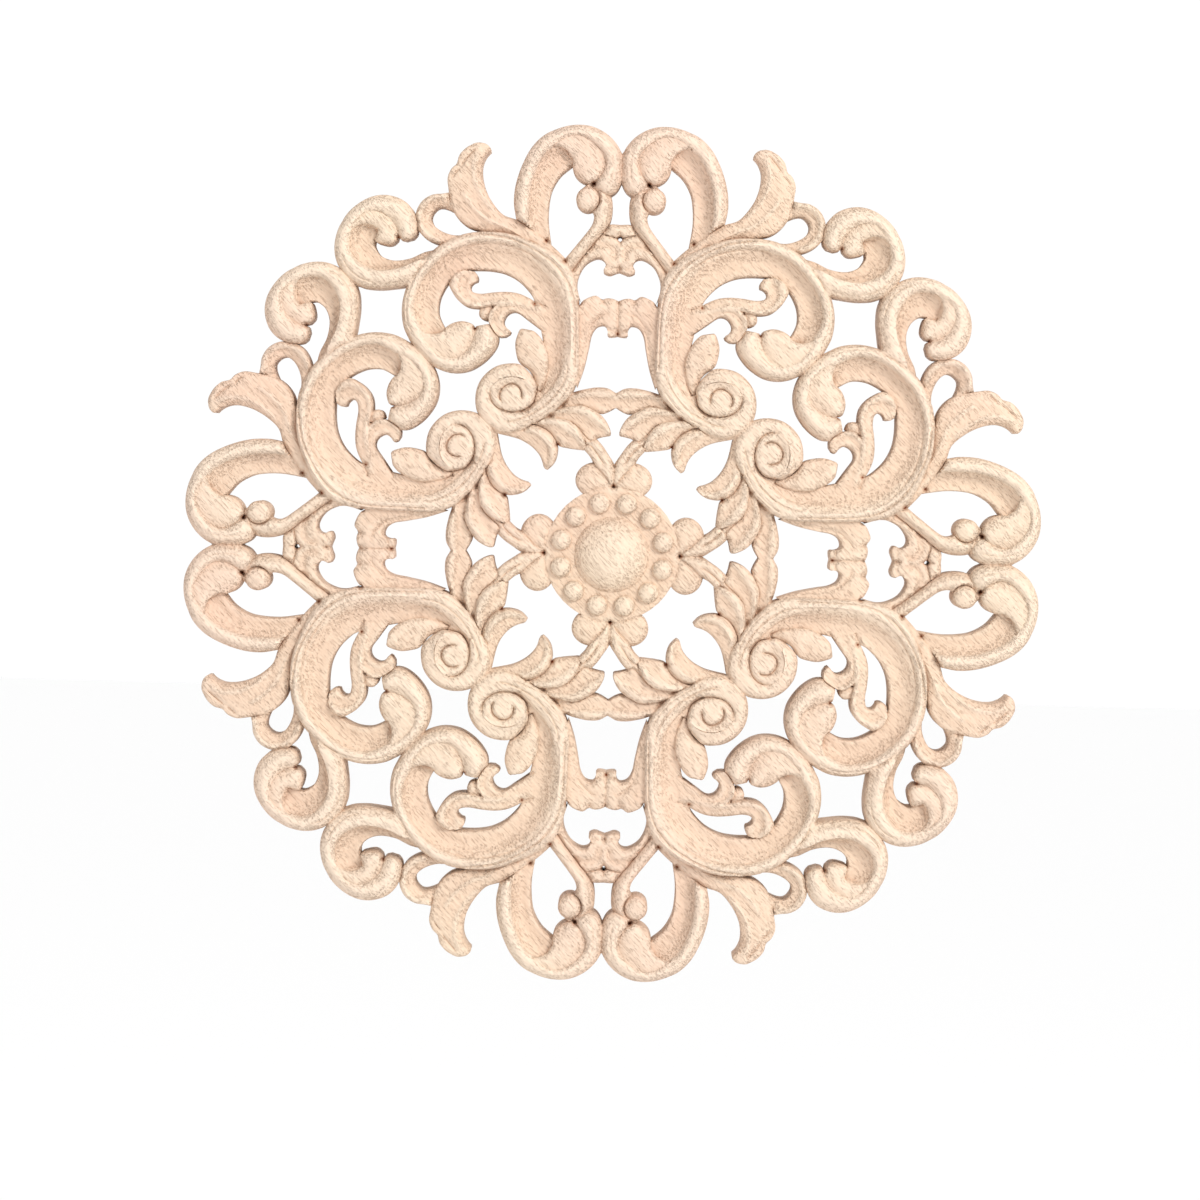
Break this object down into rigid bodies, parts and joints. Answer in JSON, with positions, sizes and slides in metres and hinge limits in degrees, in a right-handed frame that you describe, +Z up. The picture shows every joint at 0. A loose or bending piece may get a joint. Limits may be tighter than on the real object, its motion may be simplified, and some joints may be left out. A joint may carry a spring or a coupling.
{
  "type": "carved rosette appliqué",
  "caption": "Round openwork rosette carved in pale wood, with scrolls, volutes, flame leaves and a beaded boss, for gluing to furniture, doors or walls.",
  "frame": {"origin": "centre of the flat back", "axes": "+Z up, carved face towards -Y, +Y along the back's outward normal into the surface it is fixed to"},
  "size_m": [0.1198, 0.0079, 0.1198],
  "materials": {
    "wood": "bare sanded"
  },
  "bodies": {
    "root": {"rosette": "wood"}
  },
  "joints": []
}
